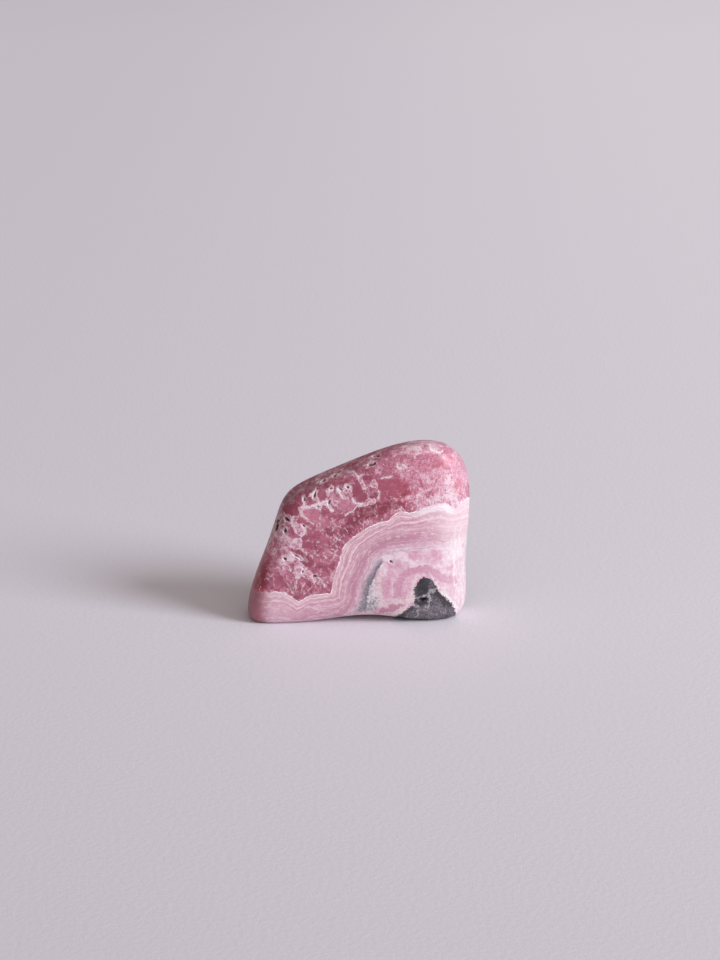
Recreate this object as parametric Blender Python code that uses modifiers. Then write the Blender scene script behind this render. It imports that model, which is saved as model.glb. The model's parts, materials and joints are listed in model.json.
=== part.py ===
"""A slice of banded rhodochrosite, polished all over, that stands on its long edge.

The stone is one solid. Its origin is at the middle of its base: +X runs along the base,
+Y through the thickness towards the back, and +Z up. Driving sizes are in millimetres.
"""

import math
import random
from collections import namedtuple

import bmesh
import bpy
from mathutils import Vector
from mathutils.bvhtree import BVHTree

MM = 0.001

# The widest section of the stone seen from the front, from the left foot along the arched base,
# up the right side, over the top and down the left side. Each row is x, z and how far the
# rounded edge comes in over the faces there.
OUTLINE = [
    (-23.8, -0.8, 3.0),
    (-17.5, -1.2, 3.4),
    (-11.5, -0.8, 3.4),
    (-5.0, 0.3, 3.2),
    (1.0, 1.2, 3.0),
    (7.0, 0.9, 3.0),
    (13.0, -0.5, 3.2),
    (18.5, -0.8, 3.4),
    (23.8, -0.6, 3.0),
    (24.6, 3.5, 2.4),
    (24.0, 11.0, 2.2),
    (24.7, 20.0, 2.2),
    (25.2, 27.6, 2.4),
    (24.1, 34.8, 3.0),
    (20.2, 39.1, 3.6),
    (13.0, 40.3, 3.8),
    (5.0, 38.2, 4.2),
    (-4.0, 34.3, 4.4),
    (-11.5, 31.0, 4.4),
    (-16.2, 28.1, 4.4),
    (-17.9, 22.6, 3.8),
    (-19.8, 16.5, 3.4),
    (-22.6, 9.7, 3.2),
    (-24.7, 2.3, 3.0),
]
MIDDLE = ((-10.0, 11.0), (11.0, 21.0))  # the line that both faces close in to
SUBDIVISION = 2

HALF_THICKNESS = 6.3  # at the origin
TAPER_UP = 0.028  # lost from each half for every millimetre of height
EDGE_SHARE = 0.66  # share of each half that its rounded edge takes up
EDGE_STEPS = 2
FACE_SHARE = 0.5  # ring on the face, half-way from its rounded edge to the middle line
CROWN = 0.3  # how far each face swells at that ring

BEND_FROM_X = 5.0  # from here on the faces bend back towards the right end
BEND_TO_X = 22.0
FRONT_BEND = 2.3  # by this much at the right end, on the front
BACK_BEND = 0.5  # and on the back
RIGHT_LEAN = 2.4  # the right side is this much narrower at the front than at the back
LEAN_FROM_X = 16.0
LEAN_TO_X = 24.0

# Weathered pits: side is -1 on the front and 1 on the back, turn is the angle of the pit's length
# from the level in degrees, and bend is how far its ends curve up.
Pit = namedtuple("Pit", "side x z length width depth turn bend")
PITS = [
    Pit(-1, 2.9, 35.7, 1.9, 0.7, 0.7, 25, 0.30),
    Pit(-1, 3.8, 37.2, 1.6, 0.5, 0.5, 5, 0.15),
    Pit(-1, -17.5, 21.7, 2.0, 1.0, 0.7, 70, 0.10),
    Pit(-1, -15.2, 23.8, 1.2, 0.8, 0.6, -40, 0.10),
    Pit(-1, -15.6, 21.3, 1.1, 0.7, 0.6, 60, 0.10),
    Pit(-1, -9.3, 29.2, 1.2, 0.6, 0.6, 80, 0.05),
    Pit(-1, -11.5, 28.1, 1.6, 0.5, 0.6, -75, 0.10),
    Pit(-1, -2.3, 31.0, 0.9, 0.7, 0.6, -60, 0.00),
    Pit(-1, -3.9, 30.6, 0.9, 0.6, 0.5, 20, 0.05),
    Pit(-1, -7.6, 31.8, 1.5, 0.5, 0.5, 30, 0.10),
    Pit(-1, -5.1, 33.1, 1.3, 0.5, 0.5, 15, -0.10),
    Pit(-1, -6.2, 27.8, 0.9, 0.6, 0.5, 55, 0.05),
    Pit(-1, -15.8, 15.2, 0.9, 0.8, 0.6, 30, 0.00),
    Pit(-1, -13.4, 16.0, 1.8, 0.5, 0.4, -25, 0.05),
    Pit(-1, -9.6, 11.4, 1.0, 0.6, 0.5, -20, 0.00),
    Pit(-1, 6.8, 14.7, 0.9, 0.7, 0.5, -35, 0.00),
    Pit(-1, 13.9, 5.7, 1.9, 0.9, 0.7, 10, -0.15),
    Pit(1, -3.5, 31.5, 1.6, 0.6, 0.6, 40, 0.25),
    Pit(1, -9.0, 28.0, 1.2, 0.8, 0.6, -30, 0.05),
    Pit(1, -13.5, 19.0, 1.4, 0.7, 0.6, 65, 0.10),
    Pit(1, 5.5, 32.0, 1.1, 0.6, 0.5, -10, 0.00),
    Pit(1, -10.5, 13.0, 1.0, 0.7, 0.5, 20, 0.05),
]
PIT_ROUGHNESS = 0.12  # how uneven a pit's wall is, as a share of its radius
OUTSIDE_Y = 40.0  # well clear of the stone on either side
FLOOR_BLOCK = (70.0, 30.0, 6.0)

PINK = (0.52, 0.19, 0.26, 1.0)
POLISH = 0.2


def clear_scene():
    for obj in list(bpy.data.objects):
        bpy.data.objects.remove(obj, do_unlink=True)


def new_collection(name):
    collection = bpy.data.collections.new(name)
    bpy.context.scene.collection.children.link(collection)
    return collection


def stone_material():
    material = bpy.data.materials.new("banded_rhodochrosite")
    material.use_nodes = True
    shader = material.node_tree.nodes["Principled BSDF"]
    shader.inputs["Base Color"].default_value = PINK
    shader.inputs["Roughness"].default_value = POLISH
    shader.inputs["Metallic"].default_value = 0.0
    material.diffuse_color = PINK
    return material


def smooth_step(start, end, value):
    share = min(max((value - start) / (end - start), 0.0), 1.0)
    return share * share * (3.0 - 2.0 * share)


def nearest_on_middle(point):
    start = Vector(MIDDLE[0])
    along = Vector(MIDDLE[1]) - start
    share = (point - start).dot(along) / along.length_squared
    return start + along * min(max(share, 0.0), 1.0)


def section_point(row, reach_share, face_share):
    """A point of the outline, drawn in by a share of its edge reach and of the way to the middle."""
    point = Vector(row[:2])
    to_middle = nearest_on_middle(point) - point
    edge = point + to_middle.normalized() * row[2] * reach_share
    return edge.lerp(nearest_on_middle(point), face_share)


def place(point, side, depth_share, swell):
    """Place of a section point on the front (side -1) or back (+1), at a share of that half."""
    x, z = point
    y = side * ((HALF_THICKNESS - TAPER_UP * z) * depth_share + swell)
    return Vector((x, y, z))


def shape_right_end(point):
    """Bend the faces back towards the right end and lean its side in towards the front."""
    x, y, z = point
    to_front = min(max(0.5 - 0.5 * y / HALF_THICKNESS, 0.0), 1.0)
    to_end = max(x - BEND_FROM_X, 0.0) / (BEND_TO_X - BEND_FROM_X)
    bend = FRONT_BEND * to_front - BACK_BEND * (1.0 - to_front)
    lean = RIGHT_LEAN * to_front * smooth_step(LEAN_FROM_X, LEAN_TO_X, x)
    return Vector((x - lean, y + bend * to_end ** 2, z))


def face_rings():
    """Reach share, face share, depth share and swell of each ring, from the rim in over a face."""
    rings = []
    for step in range(EDGE_STEPS + 1):
        angle = 0.5 * math.pi * step / EDGE_STEPS
        depth_share = 1.0 - EDGE_SHARE * (1.0 - math.sin(angle))
        rings.append((1.0 - math.cos(angle), 0.0, depth_share, 0.0))
    rings.append((1.0, FACE_SHARE, 1.0, CROWN))
    return rings


def shape_cage():
    """The coarse cage of the stone: rings that close in from the rim over the front and the back."""
    bm = bmesh.new()
    rims = []
    for side in (-1, 1):
        verts = bmesh.ops.create_circle(bm, segments=len(OUTLINE), radius=1.0)["verts"]
        rims += verts
        for number, (reach_share, face_share, depth_share, swell) in enumerate(face_rings()):
            if number:
                edges = [edge for edge in bm.edges if all(vert in verts for vert in edge.verts)]
                grown = bmesh.ops.extrude_edge_only(bm, edges=edges)["geom"]
                verts = [item for item in grown if isinstance(item, bmesh.types.BMVert)]
            for vert, row in zip(verts, OUTLINE):
                point = section_point(row, reach_share, face_share)
                vert.co = place(point, side, depth_share, swell)
        bm.faces.new(verts)
    bridged = [edge for edge in bm.edges if edge.is_boundary and all(v in rims for v in edge.verts)]
    bmesh.ops.bridge_loops(bm, edges=bridged)
    bmesh.ops.recalc_face_normals(bm, faces=bm.faces[:])
    bmesh.ops.scale(bm, verts=bm.verts[:], vec=(MM, MM, MM))
    return bm


def mesh_object(name, bm, collection):
    mesh = bpy.data.meshes.new(name)
    bm.to_mesh(mesh)
    bm.free()
    mesh.shade_smooth()
    obj = bpy.data.objects.new(name, mesh)
    collection.objects.link(obj)
    return obj


def make_stone(collection):
    """The whole stone before its feet and pits are cut: the cage, smoothed and then bent."""
    stone = mesh_object("rhodochrosite_slice", shape_cage(), collection)
    smoothing = stone.modifiers.new("smooth form", "SUBSURF")
    smoothing.levels = SUBDIVISION
    smoothing.render_levels = SUBDIVISION
    depsgraph = bpy.context.evaluated_depsgraph_get()
    smooth = bpy.data.meshes.new_from_object(stone.evaluated_get(depsgraph))
    stone.modifiers.remove(smoothing)
    stone.data = smooth
    for vert in smooth.vertices:
        vert.co = shape_right_end(vert.co / MM) * MM
    smooth.materials.append(stone_material())
    smooth.shade_smooth()
    return stone


def hide_cutter(cutter):
    cutter.hide_render = True
    cutter.display_type = "WIRE"


def make_floor_cutter(collection):
    """A block whose top is the plane that the two feet are ground flat to."""
    bm = bmesh.new()
    bmesh.ops.create_cube(bm, size=1.0)
    bmesh.ops.scale(bm, verts=bm.verts[:], vec=Vector(FLOOR_BLOCK) * MM)
    bmesh.ops.translate(bm, verts=bm.verts[:], vec=(0.0, 0.0, -0.5 * FLOOR_BLOCK[2] * MM))
    hide_cutter(mesh_object("floor", bm, collection))


def make_pit_cutter(number, pit, surface, collection):
    """A small rough bowl, sunk square to the surface where a line along Y meets it."""
    outside = Vector((pit.x, pit.side * OUTSIDE_Y, pit.z)) * MM
    point, normal, _, _ = surface.ray_cast(outside, Vector((0.0, -pit.side, 0.0)))
    turn = math.radians(pit.turn)
    along = Vector((math.cos(turn), 0.0, math.sin(turn)))
    across = normal.cross(along).normalized()
    along = across.cross(normal)
    rough = random.Random(number)
    bm = bmesh.new()
    bmesh.ops.create_icosphere(bm, subdivisions=2, radius=1.0)
    for vert in bm.verts:
        u, v, w = vert.co * (1.0 + rough.uniform(-PIT_ROUGHNESS, PIT_ROUGHNESS))
        lengthwise = along * 0.5 * pit.length * u
        crosswise = across * (0.5 * pit.width * v + pit.bend * u * u)
        vert.co = point + (lengthwise + crosswise + normal * pit.depth * w) * MM
    hide_cutter(mesh_object("pit_%02d" % number, bm, collection))


def cut(stone, cutters):
    boolean = stone.modifiers.new("cut " + cutters.name, "BOOLEAN")
    boolean.operation = "DIFFERENCE"
    boolean.operand_type = "COLLECTION"
    boolean.collection = cutters
    boolean.solver = "EXACT"


def build():
    clear_scene()
    stone = make_stone(new_collection("banded_rhodochrosite_slice"))
    depsgraph = bpy.context.evaluated_depsgraph_get()
    surface = BVHTree.FromObject(stone, depsgraph)
    cutters = new_collection("cutters")
    make_floor_cutter(cutters)
    for number, pit in enumerate(PITS):
        make_pit_cutter(number, pit, surface, cutters)
    cut(stone, cutters)


build()
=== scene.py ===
import json
import math

import bpy
import numpy as np
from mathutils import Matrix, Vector
from mathutils.bvhtree import BVHTree

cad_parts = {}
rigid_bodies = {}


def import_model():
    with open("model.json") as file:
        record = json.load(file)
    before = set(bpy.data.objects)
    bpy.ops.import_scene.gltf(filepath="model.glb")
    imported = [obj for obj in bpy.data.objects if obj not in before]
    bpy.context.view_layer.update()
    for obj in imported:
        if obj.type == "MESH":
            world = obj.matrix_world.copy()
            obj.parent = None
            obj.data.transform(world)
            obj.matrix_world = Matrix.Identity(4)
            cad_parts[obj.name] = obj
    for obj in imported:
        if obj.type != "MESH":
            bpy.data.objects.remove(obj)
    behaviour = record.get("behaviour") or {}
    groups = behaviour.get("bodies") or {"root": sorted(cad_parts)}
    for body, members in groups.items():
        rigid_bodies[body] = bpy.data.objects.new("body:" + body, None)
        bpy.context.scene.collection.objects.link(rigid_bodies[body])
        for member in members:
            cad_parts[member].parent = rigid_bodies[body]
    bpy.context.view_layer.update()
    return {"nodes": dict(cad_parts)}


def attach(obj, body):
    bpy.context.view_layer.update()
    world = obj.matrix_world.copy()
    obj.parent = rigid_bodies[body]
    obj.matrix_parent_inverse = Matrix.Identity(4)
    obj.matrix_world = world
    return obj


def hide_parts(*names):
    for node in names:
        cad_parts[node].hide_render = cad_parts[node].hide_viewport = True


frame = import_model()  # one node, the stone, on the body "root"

bpy.ops.object.select_all(action="DESELECT")
print("frame loaded")

mm = 0.001  # the drawing below is in millimetres, x along the base and z up

# The stone's own body
slab = {
    "node": "rhodochrosite_slice",
    "slot": "banded_rhodochrosite",
    "voxel": 0.35,  # size of a working face
    "meltPasses": 12,  # smoothing that takes the facets away
    "drift": 2.4,  # how far the pattern has wandered by the back
    "matrixSink": 0.12,  # the dark corner is softer and lies under the polish
    "finerTowards": (0.1, -0.94, 0.34),  # faces that look this way are divided again
    "finerFrom": 0.6,
    "frontMeltPasses": 3,
    "pitMargin": 0.3,  # and again this far round a pit
    "drawnTo": (-3.5, 1.5),  # where the drawn pattern of the rose part fades, along y
    "rough": 0.4,
    "ior": 1.6,
    "glow": 0.12,  # light that passes under the surface, and how far
    "glowReach": (1.0, 0.5, 0.6),
    "glowScale": 0.6,
    "bump": 0.35,
    "bumpHeight": 0.05,
    "pits": [  # x, y, z, length, width, depth, turn
        (2.55, -3.5, 35.65, 1.3, 0.5, 0.6, 0), (3.25, -3.6, 36.1, 0.8, 0.6, 0.7, 60),
        (3.5, -1.6, 37.25, 1.5, 0.8, 0.8, 5), (4.2, -2, 37, 0.8, 0.6, 0.6, 50),
        (-17.9, -2.8, 21.8, 2.7, 1.5, 1, 80), (-17.9, -2, 22.6, 1.2, 0.9, 0.7, 30),
        (-17.6, -3.2, 21.1, 1.2, 0.7, 0.6, 20), (-17.3, -3.1, 23.1, 0.9, 0.6, 0.5, 50),
        (-16.6, -3.2, 23.5, 1.3, 0.6, 0.5, 80), (-18.9, -2.5, 17.4, 1.6, 0.6, 0.4, 80),
        (-15.2, -4.3, 23.8, 1.3, 0.7, 0.6, -35), (-15.6, -4.7, 21.3, 1, 0.6, 0.5, 65),
        (-9.3, -4.2, 29.2, 1.1, 0.45, 0.5, 78), (-11.5, -4.1, 28.1, 1, 0.4, 0.5, -78),
        (-2.2, -4.5, 31, 0.6, 0.5, 0.5, -60), (-3.8, -4.5, 30.6, 0.8, 0.4, 0.4, -30),
        (-5.9, -4.4, 30.7, 0.8, 0.4, 0.4, 25), (-7.5, -2.9, 31.9, 1.3, 0.5, 0.5, 30),
        (-5.1, -2.7, 33.1, 1.3, 0.5, 0.5, 15), (-6.3, -4.9, 27.8, 1.1, 0.45, 0.5, 65),
        (-15.8, -5.3, 15.2, 0.8, 0.6, 0.6, -30), (-13.3, -5.6, 15.9, 1.6, 0.35, 0.3, -30),
        (-9.6, -5.8, 11.4, 1, 0.5, 0.4, 15), (6.8, -5.5, 14.7, 0.7, 0.45, 0.4, -35),
        (13.9, -4.9, 5.7, 1.9, 0.8, 0.6, 10), (-11.7, -5.7, 22.7, 0.7, 0.4, 0.3, -40),
        (-12, -6.2, 12.4, 0.7, 0.45, 0.4, 75), (-8.7, -5.3, 27, 0.5, 0.35, 0.3, 10),
        (-11.8, -6.1, 13.3, 0.5, 0.3, 0.3, 80), (-3.5, 4.3, 31.5, 1.6, 0.6, 0.6, 40),
        (-9, 4.6, 28, 1.2, 0.8, 0.6, -30), (-13.5, 5.3, 19, 1.4, 0.7, 0.6, 65),
        (5.5, 4.9, 32, 1.1, 0.6, 0.5, -10), (-10.5, 5.7, 13, 1, 0.7, 0.5, 20),
        (1.5, 5.5, 24.5, 0.7, 0.4, 0.4, -50),
    ],
}

# Growth lines of the bands, each in runs that meet in a cusp
growthLines = {
    "outer": [
        [(-32, 7.2), (-26, 7.3), (-23, 7.4), (-20.5, 7.6), (-18, 7.85), (-16.5, 7.8), (-15.2, 7.25),
         (-14, 6.4), (-12.9, 5.35)],
        [(-12.9, 5.35), (-12.1, 6.05), (-11, 6.8), (-10, 7.1), (-8, 7.35), (-6, 7.6)],
        [(-6, 7.6), (-5.7, 9), (-5.6, 10.5), (-5.15, 12), (-4.7, 13.3), (-4.2, 14.5), (-4.1, 15.8),
         (-3.7, 17), (-3.1, 18.4)],
        [(-3.1, 18.4), (-2.4, 19.2), (-1.2, 20.3), (0.2, 21.3), (1, 21.9), (2, 22.5), (3, 23), (4, 23.4),
         (5.2, 23.75), (6.3, 23.85)],
        [(6.3, 23.85), (6.7, 24.3), (7.1, 24.9), (7.6, 25.4), (8.3, 25.8), (9.1, 26), (10, 25.9),
         (10.8, 25.6)],
        [(10.8, 25.6), (12, 25.9), (13, 26.4), (14, 26.8), (15, 27.05), (16, 27.35), (17, 27.5), (18, 27.4),
         (19, 27), (20, 26.3), (20.9, 25.7)],
        [(20.9, 25.7), (21.8, 26.7), (22.8, 27.5), (24.2, 28.1), (32, 28.5)],
    ],
    "mauve": [
        [(-32, 4), (-26, 4.1), (-20, 4.2), (-17, 4.3), (-15, 3.7), (-13, 2.5)],
        [(-13, 2.5), (-11.5, 4), (-10, 4.2), (-8, 4.6), (-6, 4.8), (-4, 5.2), (-3, 6)],
        [(-3, 6), (-2.8, 7), (-2.7, 8.5), (-2.5, 10), (-1.9, 11.5), (-1.1, 13.5), (-0.3, 15.5), (0.4, 16.6),
         (1, 17.7), (2, 18.6), (3, 19.3), (4, 20.1), (5, 20.6), (6, 21.2), (7, 21.4), (8, 21.6), (10, 21.8),
         (12, 21.8), (15, 22.1), (17, 22.1), (20, 21.6), (24, 21), (32, 20.5)],
    ],
    "inner": [
        [(-32, -3.5), (-24, -3), (-12, -2.2), (-5, -1.2), (-2.2, -0.2), (-1, 1.5), (-0.6, 3.2), (-0.3, 4.5),
         (0, 5.8), (0.3, 7), (0.7, 8.5), (1, 9.8), (1.5, 11), (2.2, 12.2), (2.8, 13.3), (3.5, 14.6),
         (4.2, 15.4), (5, 16), (6, 16.3), (7, 16.7), (8.5, 16.9), (9.5, 17), (13.5, 17.2), (15, 17.3),
         (18, 17.2), (24, 16.5), (32, 16)],
    ],
}

# Closed patches inside the bands
patches = {
    "matrix": [
        (14, 11), (13, 10.3), (12.5, 9.6), (12.2, 8.8), (11.8, 8.1), (12, 7.4), (11.9, 6.6), (12, 5.9),
        (11.8, 5.2), (11.9, 4.6), (11, 4), (10, 3.2), (9.2, 2.6), (8.4, 1.9), (7.6, 0.8), (7, -1.5),
        (21.2, -1.5), (21.1, 0.6), (20.9, 2.5), (20.6, 3.3), (20.2, 4), (19.6, 4.7), (19, 5.5), (18.4, 6.1),
        (17.7, 6.9), (17.1, 7.5), (16.8, 8.2), (16.4, 8.8), (16.2, 9.6), (15.6, 10.3), (14.9, 10.7),
    ],
    "strip": [
        (5.2, 14.9), (4.8, 14), (4.4, 13), (3.9, 12), (3.6, 11.2), (3.6, 10), (3.8, 9), (4.1, 7.5),
        (4.4, 6), (4.3, 4.5), (3.8, 3.3), (2, 2.9), (0.5, 2.8), (-0.7, 3), (-0.3, 4.5), (0, 5.8), (0.3, 7),
        (0.7, 8.5), (1, 9.8), (1.5, 11), (2.2, 12.2), (2.8, 13.3), (3.5, 14.6), (4.2, 15.4),
    ],
}

# Crystal plates in the rose part: how pale, 0 to 1, and outline
plates = [
    (0.84, [(-16.4, 14.6), (-16.3, 15.6), (-15.4, 16.3), (-14.7, 16.9), (-13.6, 16.3), (-12.7, 15.9),
            (-11.8, 15.2), (-12.4, 14.9), (-13.4, 14.3), (-14.3, 14.3), (-14.9, 14.6), (-15.4, 13.9),
            (-16, 14)]),
    (0.79, [(-12.5, 14.4), (-12, 14.2), (-11.8, 13.4), (-12.3, 12.9), (-12.3, 12.1), (-12.6, 11.3),
            (-13.2, 10.9), (-13.8, 11.3), (-13.9, 12.2), (-13.8, 13.2), (-13.6, 14)]),
    (0.8, [(-11.6, 12.6), (-10.9, 12.4), (-10.3, 12.7), (-10, 12), (-9.9, 11.2), (-9.3, 10.8), (-9.3, 10.2),
           (-10, 10.2), (-10.8, 10.7), (-11.6, 11.2), (-12, 11.6), (-12, 12.2)]),
    (0.82, [(-14.5, 24.6), (-13.5, 24.8), (-13, 24.4), (-13.2, 23.8), (-13.4, 23.3), (-12.9, 23),
            (-12.2, 23), (-11.4, 22.3), (-11.3, 21.6), (-11.5, 20.9), (-12, 20.3), (-13.2, 21),
            (-14.1, 22.2), (-14.4, 23.2)]),
    (0.82, [(-15, 18.1), (-14, 19.1), (-13.8, 19.7), (-13.2, 20), (-12.3, 20.1), (-12.1, 19.6),
            (-12.2, 18.2), (-12.5, 17.7), (-13.5, 17.6), (-14.6, 17.7)]),
    (0.76, [(-12.9, 26.6), (-12.6, 25.4), (-12.1, 24.9), (-11.2, 24.2), (-10.3, 23.6), (-9.8, 23.1),
            (-9.5, 23.4), (-10.6, 24.1), (-11.6, 24.9), (-12.1, 25.7), (-11.8, 26.4), (-9.5, 26.7),
            (-9, 26.8), (-9.3, 27.2), (-11, 27), (-12.3, 26.9)]),
    (0.55, [(-11.5, 26), (-10.8, 26.4), (-9.4, 26.4), (-8.7, 26.1), (-8.3, 25.4), (-8.4, 24.2),
            (-8.9, 23.3), (-9.8, 23.3), (-10.6, 24.4), (-11.4, 25.1)]),
    (0.8, [(-8.6, 28), (-7.4, 28.3), (-6.8, 29), (-6.5, 28.4), (-6.6, 27.6), (-5.3, 26.2), (-5.8, 26),
           (-7.3, 27.4), (-8, 27.1), (-8.2, 26.2), (-8.9, 26.6), (-10.2, 27), (-9.2, 27.5)]),
    (0.78, [(-10.5, 29), (-9.6, 29.9), (-9.1, 30.6), (-8.7, 30.2), (-8.8, 29), (-8.6, 28.2), (-9.2, 28.4)]),
    (0.8, [(-12.2, 28.8), (-11.9, 28.5), (-11.4, 27.4), (-11.3, 26.9), (-12, 26.8), (-11.9, 27.6)]),
    (0.78, [(-6.7, 30.3), (-6, 30.9), (-5.3, 31), (-5.6, 30.3), (-6.3, 30), (-6.5, 29.2), (-6.8, 29.4)]),
    (0.74, [(-4.7, 30.9), (-3.9, 30.9), (-3.4, 29.9), (-2.8, 28.9), (-3.3, 28.5), (-3.8, 29.4),
            (-4.5, 30.3)]),
    (0.8, [(-2.9, 31.8), (-1.8, 31.6), (-1.4, 30.6), (-1.3, 29.3), (-1.8, 29.4), (-2.2, 30), (-3.2, 30.2)]),
    (0.76, [(-0.9, 27.9), (0, 27.6), (1.3, 27.7), (1.5, 28.4), (2.2, 28.9), (3.3, 28.7), (3.7, 28),
            (2.6, 27.7), (1.4, 27.3), (0.3, 27.1), (-0.4, 27.3)]),
    (0.74, [(-0.6, 33.8), (0.2, 33.6), (0.7, 33), (1, 32), (1.5, 31), (0.9, 30.9), (0.3, 31.8),
            (0.1, 32.9)]),
    (0.72, [(2.3, 32.4), (3.4, 32.8), (3.9, 32.1), (3.9, 31.3), (2.7, 31.3)]),
    (0.22, [(-12.6, 14.7), (-12, 15), (-11.6, 15.4), (-11.2, 16), (-10.5, 15.6), (-10, 15.1), (-9.6, 14.6),
            (-10.1, 13.9), (-10.6, 13.4), (-11.3, 13.7), (-11.9, 14.1)]),
    (0.34, [(-14.9, 14.5), (-14.3, 14.2), (-14, 13.6), (-14.1, 13.2), (-14.6, 13.4), (-14.9, 14)]),
    (0.27, [(-14.3, 17.5), (-13.4, 17.3), (-12, 16.8), (-12.2, 16.2), (-13.2, 16.4), (-13.9, 16.8)]),
    (0.38, [(-17.9, 11.2), (-17, 11.6), (-16.2, 11.3), (-16.1, 10.2), (-16.4, 9.3), (-17.2, 9.2),
            (-17.9, 9.9)]),
    (0.3, [(-12.1, 19.1), (-11, 19.1), (-8.2, 18.9), (-8.3, 18.2), (-9.5, 17.9), (-11, 17.7), (-12, 18)]),
    (0.33, [(-12, 20.6), (-11.3, 20.7), (-10.9, 20.2), (-11, 19.4), (-11.8, 19.4), (-12.2, 19.8)]),
    (0.38, [(-15.2, 22.6), (-14.3, 22.3), (-13.7, 21.4), (-13, 20.7), (-12.4, 20.4), (-13.9, 19.9),
            (-14.9, 21.2)]),
    (0.4, [(-13.2, 23.6), (-12.9, 24.6), (-12.6, 24.9), (-11.7, 24), (-10.9, 23.5), (-10.9, 23.1),
           (-12.3, 23.2)]),
    (0.2, [(-16.4, 25.2), (-15.7, 26.9), (-13.2, 27), (-12.9, 26), (-13, 25.2), (-14.5, 25)]),
    (0.26, [(-13.5, 28.6), (-12.7, 28.8), (-12.2, 28.4), (-11.9, 27.6), (-12, 27.1), (-12.7, 27.1),
            (-13.4, 27.6)]),
    (0.36, [(-11.1, 28.3), (-10.2, 28.6), (-9.3, 28.3), (-8.9, 27.9), (-9.6, 27.5), (-10.5, 27.2),
            (-11.2, 27.2)]),
    (0.38, [(-8.8, 30.4), (-7.6, 30.6), (-6.9, 30), (-6.8, 29), (-7.4, 28.3), (-8.3, 27.9), (-8.7, 28.8)]),
    (0.36, [(-7.8, 27.2), (-7, 27.2), (-6.4, 26.6), (-6.1, 25.9), (-6.9, 25.4), (-8, 25.6), (-7.9, 26.4)]),
    (0.55, [(-6.3, 29.9), (-5.2, 30), (-4.7, 29), (-5, 28.2), (-5.7, 28.1), (-6.4, 28.9)]),
    (0.34, [(-6.5, 25.3), (-4.6, 25), (-3.1, 25.5), (-3.3, 24.9), (-4.8, 24.4), (-6.6, 24.7)]),
    (0.3, [(-1.2, 31.9), (-0.2, 32), (0.9, 31), (1.7, 30.6), (1.6, 29.6), (1.2, 28.2), (-0.3, 28.2),
           (-1, 28.6), (-1.3, 30.2)]),
    (0.36, [(4, 32.9), (6, 32.9), (8, 33.1), (9.4, 31.9), (9.6, 30.3), (8.2, 29.2), (4.9, 29.2),
            (4.5, 30.5)]),
    (0.56, [(-5, 28.2), (-4.4, 27.8), (-4, 26.8), (-3, 25.8), (-1.2, 26.4), (-0.8, 27.3), (-1.5, 28.2),
            (-2.9, 28.5), (-3.9, 28.9)]),
]

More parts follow.
